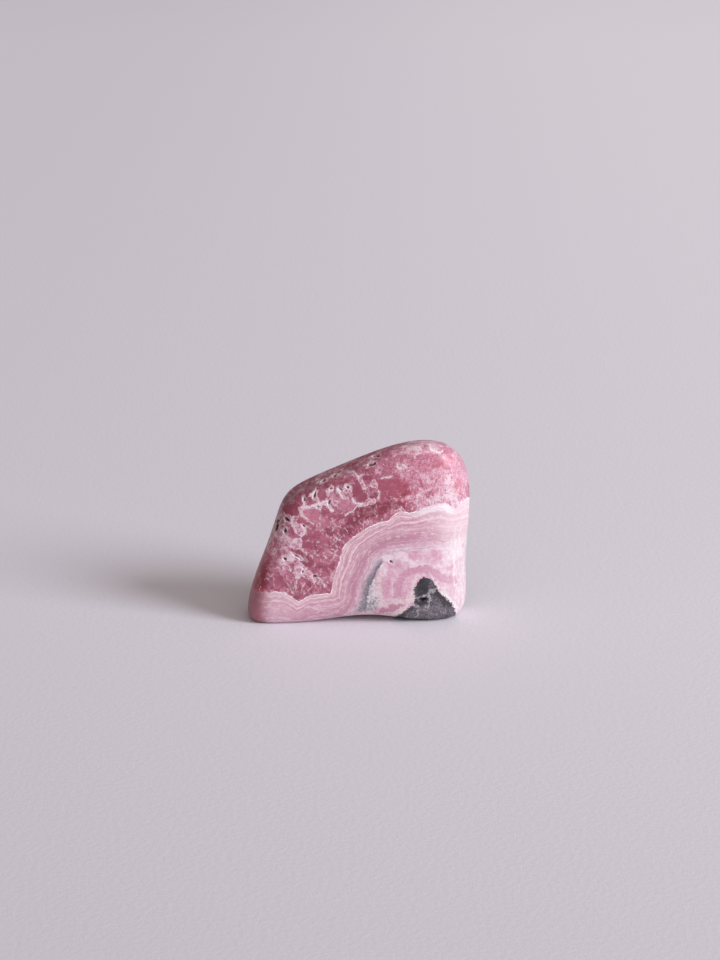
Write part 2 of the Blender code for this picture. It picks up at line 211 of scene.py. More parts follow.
# Fine white veins in the rose part: half width, strength, points
veins = [
    (0.2, 0.9, [(-12.6, 26.6), (-11, 26.8), (-9.5, 27.1), (-8.9, 27.4), (-8, 27.7), (-7.2, 28),
                (-6.5, 28.2)]),
    (0.15, 0.7, [(-8.9, 27.2), (-8.3, 26.4), (-7.9, 25.6)]),
    (0.2, 0.8, [(-7.5, 27.4), (-6.5, 27), (-5.8, 26.4), (-5.2, 25.9)]),
    (0.2, 0.8, [(-12.2, 28.8), (-11.9, 28.2), (-11.7, 27.4), (-11.4, 26.9)]),
    (0.2, 0.8, [(-10.4, 29), (-9.9, 29.4), (-9.6, 29.9), (-8.8, 30.3)]),
    (0.13, 0.6, [(-8.8, 29.2), (-8.6, 28.3), (-8.3, 27.7)]),
    (0.15, 0.7, [(-6.5, 29.8), (-6.3, 30.3), (-5.9, 30.9), (-5.4, 31.1)]),
    (0.22, 0.8, [(-4.8, 30.8), (-4.2, 30.2), (-3.8, 29.5), (-3.3, 28.8)]),
    (0.15, 0.8, [(-5.2, 28.7), (-4.7, 28.3), (-4, 27.8)]),
    (0.2, 0.45, [(-4, 34), (-2.5, 34.2), (-1, 34.1), (0, 33.7)]),
    (0.24, 0.9, [(-1.5, 29), (-0.8, 28), (-0.2, 27.8), (0.5, 27.7), (0.9, 28.1)]),
    (0.15, 0.8, [(-0.3, 27.6), (-0.8, 26.6), (-1.5, 26), (-2.4, 25.4), (-3, 24.9)]),
    (0.2, 1, [(4.1, 31), (4.35, 30), (4.2, 29), (4.3, 28.5)]),
    (0.2, 0.8, [(4.6, 33.2), (5.4, 33.4), (6.2, 33.5), (7.3, 33.9)]),
    (0.18, 0.8, [(8.2, 36.8), (8.3, 36), (8.5, 35.5), (9.3, 35.3), (9.8, 35.2)]),
    (0.16, 0.8, [(8.8, 36.3), (9.5, 36.1), (10, 35.7), (10.1, 35.2)]),
    (0.12, 0.5, [(10.2, 35), (10.9, 35), (11.3, 35.5), (11, 36)]),
    (0.15, 0.7, [(11.9, 38.2), (12, 37.6), (12.3, 37.2)]),
    (0.2, 0.8, [(9, 38.9), (11, 39.2), (12.5, 39.2), (13.5, 39)]),
    (0.2, 0.7, [(14.8, 39.5), (15.5, 38.8), (16.8, 38.3), (18, 38.2)]),
    (0.24, 0.6, [(19.5, 37.4), (20.5, 36.8), (21.5, 35.9)]),
    (0.2, 0.4, [(12.5, 31.2), (13.5, 30.5), (15, 30.7), (15.8, 30.7)]),
    (0.13, 0.7, [(-11.2, 21.9), (-11.2, 20.7)]), (0.16, 0.9, [(-11.6, 17.1), (-11.2, 16.6), (-10.9, 16.2)]),
    (0.13, 0.8, [(-10.5, 16.5), (-10.2, 15.9), (-9.8, 15.3)]),
    (0.14, 0.7, [(-15.9, 14.7), (-15.2, 14), (-14.8, 13.2), (-14.5, 12.3)]),
    (0.14, 0.5, [(-15.9, 14.3), (-17, 13.6), (-18.3, 13)]),
    (0.2, 0.6, [(-16.5, 21.8), (-15.9, 20.8), (-15, 20.2), (-14.8, 19.4)]),
    (0.16, 0.6, [(-17, 16.8), (-16, 17.8), (-15, 17.7)]),
    (0.15, 0.9, [(-7.7, 16.2), (-6.9, 15.6), (-6.4, 15.7)]),
    (0.14, 0.9, [(-5.1, 20.4), (-4.7, 19.9), (-4.2, 19.7), (-3.5, 19.6)]),
    (0.12, 0.8, [(-4.2, 20.9), (-3.8, 20.4)]),
    (0.16, 0.9, [(-8.3, 10.2), (-7.6, 9.9), (-7.2, 9.1), (-7.4, 8.7)]),
    (0.12, 0.5, [(-13.3, 10.8), (-13.6, 9.2), (-13.3, 7.6)]),
    (0.12, 0.5, [(-11.4, 10.4), (-12, 9), (-12.6, 7.6)]),
    (0.12, 0.5, [(-15.4, 10.2), (-14.8, 8.8), (-13.9, 7.5)]),
    (0.12, 0.5, [(-9.8, 9.4), (-10.5, 8.6), (-11.2, 7.8)]),
    (0.15, 0.6, [(20.9, 21.6), (20.6, 20), (20.8, 18), (20.4, 15.5), (20.7, 13), (20.5, 10.5), (20.7, 8)]),
    (0.13, 0.6, [(21.9, 21.5), (21.6, 19), (21.8, 16.5), (21.5, 13.5), (21.7, 10)]),
    (0.1, 0.4, [(20.1, 19.5), (19.8, 17.5), (20, 15.5)]),
]

# Soft washes: half width, amount, points
washes = {
    "tone": [  # pale (+) and deep (-) in the rose part
        (1.6, -0.7, [(-21, 15), (-22, 9)]), (1.2, -0.4, [(-19.8, 11.5), (-19.6, 9.3)]),
        (0.9, -0.4, [(-18.8, 20), (-20.4, 16)]), (3, 0.3, [(-17, 20), (-18, 15), (-18, 12)]),
        (2.2, -0.4, [(-3.5, 32.6), (0.6, 33.9)]), (0.9, 0.35, [(3.2, 34.9), (5.4, 34.8)]),
        (1.5, -0.2, [(-12, 29.5), (-7, 30.3)]), (3.4, 0.2, [(19, 33.5), (19.5, 30.5)]),
        (4, 0.15, [(10, 36.8), (17, 36.4)]),
        (0.5, 0.7, [(-12.4, 14.4), (-12.2, 13.2), (-12.3, 12.3), (-13, 11.5)]),
        (0.55, 0.8, [(-11.8, 12.5), (-10.8, 12), (-10.5, 11.2), (-9.8, 10.6)]),
        (0.3, 0.6, [(-10.3, 12.7), (-10, 12.2)]), (0.4, 0.5, [(-17.2, 20.2), (-16.2, 19.2)]),
        (1.1, 0.18, [(-7.8, 23.1), (-7.2, 21.8)]), (0.7, -0.5, [(-5.7, 19), (-5.5, 17.8)]),
        (0.8, -0.35, [(-2.8, 34.6), (-0.6, 34.6)]), (0.35, 0.8, [(-2.9, 31.4), (-2.4, 31), (-2.3, 30.5)]),
        (0.35, 0.6, [(-1.9, 31.2), (-1.7, 30), (-1.5, 29.3)]), (0.4, 0.6, [(1.5, 28.2), (2.8, 28.3)]),
        (0.45, 0.4, [(-0.2, 34), (0.4, 33), (0.7, 32.2), (1.3, 31.4), (1.8, 30.4)]),
        (0.35, 0.7, [(-5.7, 23.9), (-5.2, 23.8)]), (0.25, 0.9, [(-13.1, 24.1), (-13, 24)]),
        (0.4, 0.7, [(2.4, 31.8), (3.2, 31.5)]), (0.3, 0.5, [(2.4, 32.4), (3.3, 32.9)]),
        (0.35, 0.5, [(3.5, 34.6), (4.3, 34.7)]), (0.25, 0.6, [(7.1, 35.1), (7.3, 35.2)]),
        (0.5, 0.4, [(8.6, 34.9), (9.2, 33.6)]), (0.8, 0.7, [(13.7, 33.4), (14.6, 32.7), (15.4, 32.6)]),
        (0.5, 1, [(18.9, 33), (18.8, 31.5), (18.9, 30)]), (0.6, 0.5, [(19.8, 28.9), (20.7, 27.3)]),
        (0.35, 0.3, [(20.3, 30.9), (20.5, 30.2)]), (0.5, 0.45, [(12, 39), (13.5, 38.5), (16.5, 38.6)]),
        (0.8, -0.4, [(8.5, 37.8), (13, 38.8), (17.5, 38.3)]),
        (0.6, 0.5, [(7.5, 38.2), (10, 38.6), (12, 38.3)]),
        (0.4, 0.5, [(5.5, 28.9), (7, 28.6), (8.3, 28.8), (9.5, 28.7), (11, 29.3), (12, 29.2), (13, 29.6)]),
        (0.8, 0.6, [(12.6, 27.4), (15, 28), (17, 28.7), (20, 28.3)]),
        (0.4, 0.5, [(11.8, 27.8), (12.5, 28.6), (12.7, 29.6)]), (0.35, 0.5, [(3.8, 26.3), (5, 26.1)]),
        (0.8, 0.3, [(-5.6, 29.2), (-4.6, 28.4)]), (0.8, 0.3, [(-3, 27.8), (-2.4, 27)]),
        (4, 0.1, [(-11, 27), (-6, 28.5), (-2, 30)]), (2, -0.45, [(-13, 29.6), (-4, 30.8)]),
        (2.2, -0.35, [(-1.5, 25.5), (4.5, 27)]), (3.5, 0.18, [(-16.5, 20), (-15, 14)]),
        (4, 0.3, [(12, 31), (12, 36)]), (3.4, 0.36, [(18.6, 33), (19.2, 29)]),
        (2.5, 0.3, [(14.8, 29), (16, 30)]), (1.8, -0.3, [(18.9, 37.6), (19.6, 34.6)]),
        (0.5, 0.7, [(20, 27), (20.9, 26.3), (21.8, 27.2)]), (0.8, -0.7, [(-11.6, 18.5), (-9.5, 18.3)]),
        (0.9, -0.6, [(-11.3, 15.9), (-10.8, 14.2)]),
        (0.35, -0.8, [(-14.2, 17.4), (-13.5, 17), (-12, 16.6)]),
        (0.35, -0.8, [(-14.6, 20.2), (-12.9, 20.3)]),
        (0.9, -0.7, [(-6.3, 21.8), (-5, 21.2), (-3.5, 21.4), (-2, 21.7)]),
        (0.5, -0.4, [(-8.5, 17), (-8, 15.5)]), (0.6, -0.4, [(-9, 13), (-7.5, 13.2)]),
        (1.2, -0.5, [(-20.8, 12), (-20.5, 9.5)]), (0.9, -0.5, [(-17.3, 10.6), (-16.6, 9.6)]),
        (0.5, -0.5, [(-14.6, 14.2), (-14.2, 13.9)]), (0.35, -0.5, [(-18, 13.8), (-16.5, 13.7)]),
        (0.4, -0.5, [(-15.5, 9.2), (-14.5, 8.5)]), (0.45, -0.5, [(-11, 9.5), (-10.3, 8.4)]),
        (0.8, -0.9, [(-13.4, 8), (-13.1, 6.8)]), (0.8, -0.4, [(-16.8, 23.2), (-14.4, 22.9)]),
        (1.4, -0.9, [(-15.2, 26.5), (-13.8, 26)]), (0.8, -0.6, [(-13.4, 28.2), (-12.9, 27.5)]),
        (0.7, -0.5, [(-11, 28), (-9.5, 28.2)]), (0.8, -0.4, [(-8, 29.3), (-7.3, 28.8)]),
        (0.5, -0.5, [(-10, 30), (-8, 31), (-6.6, 30.9)]), (0.5, -0.5, [(-5, 24.6), (-3.5, 25)]),
        (0.35, -0.5, [(-4.6, 28.1), (-4.2, 27.2)]), (1.1, -0.7, [(-0.3, 30.6), (0.6, 29.5), (1, 29)]),
        (1, -0.9, [(0, 26), (2.5, 27.3)]), (0.9, -0.6, [(6.2, 26.9), (8.6, 27.6)]),
        (1, -0.7, [(-1, 24), (2, 25.5), (5, 26.3)]), (0.9, -0.6, [(-3, 22.5), (0, 24)]),
        (1.5, -0.75, [(5.6, 31.4), (8.3, 31.3), (9.3, 30.4)]), (0.9, -0.7, [(5.4, 29.9), (9.8, 29.8)]),
        (0.55, -0.8, [(6.5, 27.6), (8, 27.7), (10, 27.5)]), (0.7, -0.6, [(3, 27.4), (6, 27)]),
        (0.35, -0.7, [(15.3, 33.3), (16.3, 32.6), (16.1, 31.9)]), (0.35, -0.5, [(13.5, 31.3), (13.6, 31)]),
        (1.3, -0.15, [(17.5, 37), (16.5, 36.6), (18.5, 36.2)]), (0.8, -0.3, [(21.3, 31.6), (21.4, 29.8)]),
        (0.9, -0.5, [(2.4, 30.8), (3, 29.6)]), (0.5, -0.3, [(12.5, 37.6), (14.5, 37.4)]),
        (0.7, -0.4, [(14.2, 29.3), (15.6, 29.6)]),
    ],
    "sparkle": [  # where bright specks crowd
        (1.8, 1, [(-8.6, 17.6), (-7, 16)]), (1.6, 1, [(-5.6, 20.6), (-4.4, 19.3)]),
        (1.2, 1, [(-8.4, 9.4), (-7.4, 10.4)]), (2, 0.15, [(0, 25), (6, 27)]),
        (1, 0.5, [(-3, 22.5), (-1, 23.6)]), (1.5, 0.5, [(-14.5, 9), (-10.5, 8.5)]),
        (2, 0.6, [(9, 27.5), (15, 28.5)]),
    ],
    "shadeAndSheen": [  # painted shade and painted reflection: greyer along the upper-left ridge and the left flank, which turn away from the lamp
        (1, 0.8, [(-15.6, 27.6), (-12.5, 30.2), (-9, 31.8), (-6.5, 32.8)]),
        (0.9, 0.55, [(-5, 33.5), (-1, 35.2), (2, 36.4)]), (0.9, 0.5, [(-17.6, 23.6), (-18.4, 20.5)]),
        (0.8, 0.6, [(-16.6, 23.4), (-15.2, 22.8)]),
    ],
    "warm": [  # redder
        (1.5, 1.1, [(-19.6, 18), (-22, 8.5)]), (4.5, 0.35, [(12, 32), (19, 33)]),
        (1.7, 0.8, [(1, 25.3), (4.5, 26.6), (9.5, 27.5)]), (2.2, 0.9, [(5.8, 31.2), (9, 30.8)]),
        (1.5, 0.6, [(16.5, 36.7), (18.5, 36.2)]), (1, 0.6, [(21.2, 32), (21.4, 29.8)]),
        (1.2, 0.4, [(-11.5, 25.5), (-10, 25)]), (1, 0.4, [(-12.5, 23.8), (-11, 23.9)]),
    ],
    "blush": [  # pink (+) and milky (-) inside the inner line
        (1.2, 0.5, [(6, 10.9), (6.3, 9.4)]), (0.7, 0.5, [(5.2, 8.3), (6.2, 7.3), (7.2, 6.9)]),
        (0.9, 0.7, [(11.4, 16.1), (12.6, 15.7)]), (0.7, 0.7, [(16, 16.3), (17.2, 15.4)]),
        (0.8, 0.4, [(14.4, 14.9), (16.6, 14.5)]), (1, 0.3, [(9.3, 6.6), (9.7, 8.4), (9.8, 10)]),
        (0.8, 0.3, [(7.6, 13.8), (8.8, 13.5)]), (0.7, 0.4, [(19.2, 12.8), (19.8, 12.2)]),
        (0.9, -1.2, [(5.8, 15.6), (6.8, 15.6), (9.4, 16.2), (9.9, 15.5)]),
        (0.8, -0.9, [(5.6, 13.6), (5.2, 11.5)]), (1.2, -0.4, [(12, 14.2), (18, 13.6)]),
        (0.5, -0.8, [(7.3, 7.6), (7.2, 9.2), (7.5, 10.8)]), (0.9, -0.5, [(11, 14.2), (13, 14.3)]),
        (1.5, -0.7, [(19.6, 16.4), (21, 15)]), (0.9, -0.5, [(14.2, 16.6), (14.6, 15.9)]),
    ],
    "arc": [
        (0.9, 0.95, [(8.2, 6.6), (8.3, 8.5), (8.7, 10.1), (9.4, 11.4), (10.5, 12.2), (12, 12.7), (14, 12.8),
                     (15.5, 12.4), (17, 11.2), (18.5, 10.2), (20.6, 9.4)]),
        (0.6, 0.55, [(3.8, 17.4), (5.6, 18.4), (8.5, 19), (12, 19.2)]),
        (0.5, 0.45, [(14.8, 19.3), (18, 18.6)]),
        (0.5, 0.6, [(-1.1, 4.5), (-0.9, 7.5), (-0.2, 10), (0.8, 12.4)]),
    ],
    "rosePatch": [
        (0.6, 0.9, [(7, 4.7), (8.4, 4.2), (9.3, 4.3)]), (0.6, 0.8, [(5, 3.2), (6.5, 3.5), (8, 3.4)]),
        (0.5, 0.7, [(3.4, 2.6), (5, 2.3)]),
    ],
    "creamy": [  # cream round the dark corner and along the base
        (0.4, 0.9, [(12.5, 11.2), (12, 10), (11.6, 8.5), (11.5, 7), (11.5, 5.6)]),
        (0.25, 0.5, [(12.8, 11.4), (14, 11.5), (15, 11.1)]),
        (0.35, 0.8, [(16.6, 9.6), (17.4, 8.7), (18.2, 8)]),
        (0.35, 0.9, [(18, 7.4), (18.8, 6.4), (19.8, 5.3), (20.7, 4.3), (21.5, 2.5)]),
        (0.8, 0.6, [(4, 5), (8, 5.7), (10.6, 5.8)]), (0.6, 0.75, [(4.1, 11.2), (4.6, 8), (4.7, 5)]),
        (0.6, 0.7, [(10.2, 4.6), (11.2, 5.6)]), (0.7, 0.8, [(7.2, 1.8), (8.6, 3), (10, 4.1)]),
        (0.8, 0.7, [(-2, 2), (2, 2.2), (6, 1.6)]),
    ],
    "shadeInMatrix": [  # light (+) and dark (-) in the dark corner
        (0.42, 1, [(16.7, 8.1), (15.8, 7.7), (15.3, 7), (15.2, 6), (15.1, 4.8), (14.6, 4.2)]),
        (0.3, 0.9, [(12.3, 6.1), (13.2, 6.4), (14.3, 6.6)]), (0.4, 0.9, [(12, 4.7), (12.5, 4.4)]),
        (0.16, 0.8, [(13.1, 3.4), (12.7, 2.5), (12.5, 1.6)]), (0.14, 0.7, [(10.1, 2.4), (10.4, 1.7)]),
        (1.5, -1, [(13.8, 9.4), (13.6, 8.3)]), (0.6, -0.9, [(12.6, 5.3), (13.6, 4.9), (14.5, 5)]),
        (0.5, -0.8, [(16.8, 6.9), (17.6, 6.1), (18.6, 5), (19.5, 3.9)]),
        (1.6, 0.25, [(10.5, 2.4), (17.5, 2.4)]), (0.6, -0.6, [(8.6, 1.3), (10.2, 2.9), (11.2, 3.8)]),
    ],
    "stain": [  # rusty
        (0.35, 0.9, [(0.8, 8.3), (1.1, 10.3)]), (0.45, 0.8, [(16.9, 7.2), (17.7, 6.1), (18.4, 5.2)]),
        (0.9, 0.9, [(-17.5, 24.4), (-17.9, 21.2)]), (0.5, 0.6, [(15.9, 8.6), (16.3, 8.2)]),
        (0.3, 0.5, [(11.9, 4.9), (11.4, 5.3)]),
    ],
}


def activate(piece):
    bpy.ops.object.select_all(action="DESELECT")
    piece.select_set(True)
    bpy.context.view_layer.objects.active = piece


def readPoints(piece):
    flat = np.empty(len(piece.data.vertices) * 3)
    piece.data.vertices.foreach_get("co", flat)
    return flat.reshape(-1, 3) / mm


def writePoints(piece, points):
    piece.data.vertices.foreach_set("co", (points * mm).ravel())
    piece.data.update()


def wander(points, wave, seed):  # smooth made-up unevenness, about -1 to 1
    rng = np.random.default_rng(seed)
    total = np.zeros(len(points))
    for _ in range(7):
        way = rng.normal(size=3)
        way *= 2 * math.pi / (wave * rng.uniform(0.7, 1.4) * np.linalg.norm(way))
        total += np.sin(points @ way + rng.uniform(0, 2 * math.pi))
    return total / 3


def easeBetween(low, high, values):
    share = np.clip((values - low) / (high - low), 0, 1)
    return share * share * (3 - 2 * share)


def drawCurve(runs, perSpan=6):  # smooth within each run, cusps between runs
    points = []
    for run in runs:
        p = np.array(run, float)
        p = np.vstack([2 * p[0] - p[1], p, 2 * p[-1] - p[-2]])
        for a, b, c, d in zip(p[:-3], p[1:-2], p[2:-1], p[3:]):
            for t in np.arange(perSpan) / perSpan:
                points.append(0.5 * (2 * b + (c - a) * t + (2 * a - 5 * b + 4 * c - d) * t ** 2
                                     + (3 * b - a - 3 * c + d) * t ** 3))
    points.append(np.array(runs[-1][-1], float))
    return np.array(points)


def measureFrom(points, curve):  # distance, length run along the curve, and which side
    start, step = curve[:-1], np.diff(curve, axis=0)
    length = np.linalg.norm(step, axis=1)
    run = np.concatenate([[0], np.cumsum(length)[:-1]])
    distance, along, side = np.empty((3, len(points)))
    for first in range(0, len(points), 6000):
        part = slice(first, first + 6000)
        offset = points[part, None] - start
        share = np.clip((offset * step).sum(2) / length ** 2, 0, 1)
        gap = offset - share[..., None] * step
        gap2 = (gap * gap).sum(2)
        pick = (np.arange(len(gap2)), gap2.argmin(1))
        distance[part] = np.sqrt(gap2[pick])
        along[part] = run[pick[1]] + share[pick] * length[pick[1]]
        side[part] = np.sign(step[pick[1], 0] * gap[pick][:, 1] - step[pick[1], 1] * gap[pick][:, 0])
    return distance, along, side


def isInside(points, outline):
    x, z = points.T
    inside = np.zeros(len(points), bool)
    for (xa, za), (xb, zb) in zip(outline, np.roll(outline, -1, axis=0)):
        if za != zb:
            inside ^= ((za > z) != (zb > z)) & (x < xa + (z - za) * (xb - xa) / (zb - za))
    return inside


def addField(piece, name, values):
    field = piece.data.attributes.new(name, "FLOAT", "POINT")
    field.data.foreach_set("value", values.astype(np.float32))


def melt(piece, passes):
    smoothing = piece.modifiers.new("melt", "SMOOTH")
    smoothing.factor = 0.5
    smoothing.iterations = passes
    bpy.ops.object.modifier_apply(modifier="melt")


def startSlab():
    node = frame["nodes"][slab["node"]]
    piece = bpy.data.objects.new("polished_slice", node.data.copy())
    bpy.context.scene.collection.objects.link(piece)
    piece.data.materials.clear()
    activate(piece)
    bpy.ops.object.mode_set(mode="EDIT")
    bpy.ops.mesh.select_all(action="SELECT")
    bpy.ops.mesh.remove_doubles(threshold=0.01 * mm)
    bpy.ops.object.mode_set(mode="OBJECT")
    remesh = piece.modifiers.new("evenFaces", "REMESH")
    remesh.mode = "VOXEL"
    remesh.voxel_size = slab["voxel"] * mm
    bpy.ops.object.modifier_apply(modifier="evenFaces")
    melt(piece, slab["meltPasses"])
    return piece


def divideFaces(piece, chosen):
    activate(piece)
    bpy.context.tool_settings.mesh_select_mode = (False, False, True)
    bpy.ops.object.mode_set(mode="EDIT")
    bpy.ops.mesh.select_all(action="DESELECT")
    bpy.ops.object.mode_set(mode="OBJECT")
    piece.data.polygons.foreach_set("select", chosen)
    bpy.ops.object.mode_set(mode="EDIT")
    bpy.ops.mesh.subdivide(number_cuts=1, smoothness=0)
    bpy.ops.object.mode_set(mode="OBJECT")


def readFaces(piece, what):
    flat = np.empty(len(piece.data.polygons) * 3)
    piece.data.polygons.foreach_get(what, flat)
    return flat.reshape(-1, 3)


def refineFront(piece):  # the drawn side gets faces half as wide
    facing = readFaces(piece, "normal") @ np.array(slab["finerTowards"])
    divideFaces(piece, facing > slab["finerFrom"])
    melt(piece, slab["frontMeltPasses"])


def findPits(piece):  # place and axes of every pit on the smooth stone
    surface = BVHTree.FromObject(piece, bpy.context.evaluated_depsgraph_get())
    found = []
    for x, y, z, length, width, depth, turn in slab["pits"]:
        place, normal, _, _ = surface.find_nearest(Vector((x, y, z)) * mm)
        angle = math.radians(turn)
        along = Vector((math.cos(angle), 0, math.sin(angle)))
        across = normal.cross(along).normalized()
        along = across.cross(normal)
        found.append((place / mm, along, across, normal, length * 1.1, width * 1.2, depth))
    return found


def refineAround(piece, places):  # and smaller still where a pit is cut
    centres = readFaces(piece, "center") / mm
    near = np.zeros(len(centres), bool)
    for place, _, _, _, length, _, _ in places:
        near |= np.linalg.norm(centres - np.array(place), axis=1) < 0.5 * length + slab["pitMargin"]
    divideFaces(piece, near)


def carvePits(piece, places):
    points = readPoints(piece)
    uneven = wander(points, 0.8, 3) + 0.5 * wander(points, 0.45, 4)
    dirtShade = np.zeros(len(points))
    for place, along, across, normal, length, width, depth in places:
        offset = points - np.array(place)
        u = offset @ np.array(along) / (0.5 * length)
        v = offset @ np.array(across) / (0.5 * width)
        w = offset @ np.array(normal)
        reach = np.sqrt(u * u + v * v) * (1 + (0.10 + 0.08 / width) * uneven)
        bowl = np.where(np.abs(w) < 2, np.clip(1 - reach ** 2, 0, 1) ** 0.6, 0)
        points -= bowl[:, None] * depth * np.array(normal)
        gap = (reach - 1) * (0.5 * width)  # past the rim, in millimetres
        # dark fill of each pit: dirt, and painted shade in the hollow
        dirtShade = np.maximum(dirtShade, np.where(np.abs(w) < 2, np.clip(0.5 - gap, 0, 1), 0))
    writePoints(piece, points)
    return dirtShade


def edgeDistance(points, outline):  # in from a closed outline, negative outside it
    outline = np.array(outline, float)
    distance, _, _ = measureFrom(points, np.vstack([outline, outline[:1]]))
    return np.where(isInside(points, outline), distance, -distance)


def layBands(piece, flat):  # 0 at the outer line, 1 at the mauve and 2 at the inner one
    signed = {}
    for name, runs in growthLines.items():
        curve = drawCurve(runs)
        distance, along, _ = measureFrom(flat, curve)
        closed = np.vstack([curve, [(32, -40), (-32, -40)]])
        signed[name] = np.where(isInside(flat, closed), distance, -distance)
        if name == "outer":
            addField(piece, "alongGrowth", along)
    outer, mauve, inner = signed["outer"], signed["mauve"], signed["inner"]
    layer = np.where(mauve < 0, outer / (outer - mauve + 1e-9), 1 + mauve / (mauve - inner + 1e-9))
    layer = np.where(inner > 0, 2 + inner * 0.1, layer)
    addField(piece, "layer", np.where(outer < 0, outer * 0.25, layer))
    addField(piece, "intoBands", outer)
    addField(piece, "intoCore", inner)


def layPlates(piece, flat, front):
    hold, paleness = np.zeros(len(flat)), np.full(len(flat), 0.45)
    for shade, outline in plates:
        share = easeBetween(-0.30, 0.22, edgeDistance(flat, outline))
        paleness = np.where(share > hold, shade, paleness)
        hold = np.maximum(hold, share)
    addField(piece, "plateHold", hold * front)
    addField(piece, "platePale", paleness)


def layVeins(piece, flat, front):  # the nearest one counts, measured in its own half widths
    best, across = np.full((2, len(flat)), 9.0)
    force = np.zeros(len(flat))
    for halfWidth, strength, line in veins:
        curve = drawCurve([line], 4)
        distance, along, side = measureFrom(flat, curve)
        length = np.linalg.norm(np.diff(curve, axis=0), axis=1).sum()
        fade = easeBetween(0, 0.4, along) * easeBetween(0, 0.4, length - along)
        closer = distance / halfWidth < best
        best = np.where(closer, distance / halfWidth, best)
        across = np.where(closer, side * distance / halfWidth, across)
        force = np.where(closer, strength * fade * front, force)
    addField(piece, "veinAcross", across)
    addField(piece, "veinForce", force)


def layWashes(piece, flat, front):
    for name, strokes in washes.items():
        wash = np.zeros(len(flat))
        for halfWidth, amount, line in strokes:
            distance, _, _ = measureFrom(flat, drawCurve([line], 3))
            wash += amount * (1 - easeBetween(0.65, 1.3, distance / halfWidth))
        addField(piece, name, wash * (front if name in ("tone", "warm", "sparkle", "shadeAndSheen") else 1))


def layPattern(piece):
    points = readPoints(piece)
    depth = easeBetween(-4, 6.5, points[:, 1])
    shift = np.stack([wander(points, 22, 11), wander(points, 18, 12)], 1)
    flat = points[:, [0, 2]] + slab["drift"] * depth[:, None] * shift
    ripple = np.stack([wander(points, 1.7, 31), wander(points, 1.5, 32)], 1)
    ragged = np.stack([wander(points, 0.7, 33), wander(points, 0.7, 34)], 1)
    front = 1 - easeBetween(*slab["drawnTo"], points[:, 1])
    layPlates(piece, flat + 0.10 * ripple + 0.06 * ragged, front)
    layVeins(piece, flat + 0.10 * ripple + 0.06 * ragged, front)
    layWashes(piece, flat + 0.26 * ripple + 0.12 * ragged, front)
    flat = flat + 0.07 * ripple + 0.03 * ragged
    layBands(piece, flat)
    edges = {name: edgeDistance(flat, outline) for name, outline in patches.items()}
    for name, edge in edges.items():
        addField(piece, name + "Edge", edge)
    print("pattern laid")
    return edges["matrix"]


def sinkMatrix(piece, matrix):
    points = readPoints(piece)
    normals = np.empty(len(points) * 3)
    piece.data.vertices.foreach_get("normal", normals)
    depth = easeBetween(-0.05, 0.35, matrix) * (slab["matrixSink"] + 0.05 * wander(points, 1.6, 21))
    points -= depth[:, None] * normals.reshape(-1, 3)
    writePoints(piece, points)


# Colours of the stone, as red, green and blue from 0 to 255
dyes = {
    "roseDark": (134, 52, 74),
    "roseDeep": (160, 78, 101),
    "rose": (184, 108, 131),
    "roseLight": (205, 146, 165),
    "powder": (224, 200, 209),
    # painted shade and painted reflection, a greyer rose
    "vein": (240, 222, 228),
    "shadeAndSheen": (154, 122, 132),
    "paleEnd": (227, 205, 209),
    "plainPink": (210, 168, 182),
    "threadPale": (240, 218, 225),
    "threadDeep": (192, 130, 148),
    "mauve": (190, 127, 153),
    "rosePatch": (178, 122, 140),
    "cream": (221, 206, 203),
    "spar": (238, 228, 232),
    "slate": (134, 132, 148),
    # dirt and painted shade inside the pits
    "dirtShade": (62, 16, 7),
    "rust": (150, 112, 92),
}
roseRamp = [(0.08, "roseDark"), (0.34, "roseDeep"), (0.52, "rose"), (0.69, "roseLight"), (0.88, "powder")]
bandRamp = [  # share of the way from the outer line to the mauve, and colour
    (0.00, (242, 224, 229)), (0.03, (252, 240, 243)), (0.066, (246, 228, 232)), (0.082, (202, 144, 158)),
    (0.105, (204, 146, 160)), (0.122, (246, 226, 231)), (0.138, (240, 216, 222)), (0.153, (200, 140, 155)),
    (0.18, (224, 182, 190)), (0.20, (204, 148, 160)),
    (0.24, (230, 198, 206)), (0.27, (236, 208, 214)), (0.31, (222, 184, 192)), (0.35, (204, 150, 164)),
    (0.40, (218, 174, 186)), (0.45, (200, 148, 162)), (0.52, (214, 172, 184)), (0.58, (234, 206, 214)),
    (0.63, (228, 196, 206)), (0.67, (204, 150, 166)), (0.72, (200, 144, 160)), (0.80, (212, 164, 178)),
    (0.86, (200, 148, 164)), (0.93, (220, 180, 192)), (1.00, (209, 166, 180)),
]
mauveRamp = [  # and from there to the inner line
    (0.00, (209, 166, 180)), (0.10, (204, 157, 172)), (0.25, (194, 140, 158)), (0.38, (188, 132, 152)),
    (0.50, (190, 136, 155)), (0.60, (200, 152, 170)), (0.72, (208, 170, 185)), (0.80, (204, 165, 179)),
    (0.88, (216, 188, 199)), (0.94, (202, 170, 184)), (1.00, (224, 203, 212)),
]
coreRamp = [(0.12, (200, 140, 160)), (0.38, (211, 163, 180)), (0.58, (219, 184, 197)),
            (0.85, (232, 212, 220))]
greyRamp = [(0.20, (104, 100, 110)), (0.45, (154, 148, 156)), (0.70, (188, 180, 184)),
            (0.90, (222, 212, 214))]
matrixRamp = [(0.10, (30, 24, 30)), (0.38, (67, 59, 67)), (0.62, (122, 114, 122)), (0.88, (176, 170, 175))]

